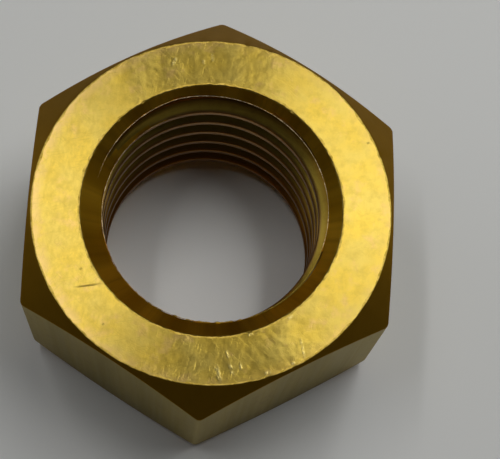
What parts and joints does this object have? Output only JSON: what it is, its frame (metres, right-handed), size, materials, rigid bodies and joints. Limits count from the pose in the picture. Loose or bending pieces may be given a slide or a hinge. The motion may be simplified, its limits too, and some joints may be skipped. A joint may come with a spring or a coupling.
{
  "type": "hexagon nut",
  "caption": "Plain brass hexagon nut with a chamfer at both ends, a turned bearing face, a countersunk mouth and a coarse right-hand internal thread.",
  "frame": {"origin": "centre of the bottom bearing face, on the thread's axis", "axes": "+Z along the thread's axis, out of the top bearing face; two opposite wrench flats face +X and -X, and two corners point along +Y and -Y"},
  "size_m": [0.032, 0.0368, 0.018],
  "materials": {
    "brass": "machined: turned bearing faces, drawn flats with lengthwise lines, dull countersink and cut thread"
  },
  "bodies": {
    "root": {"hex_nut": "brass"}
  },
  "joints": []
}
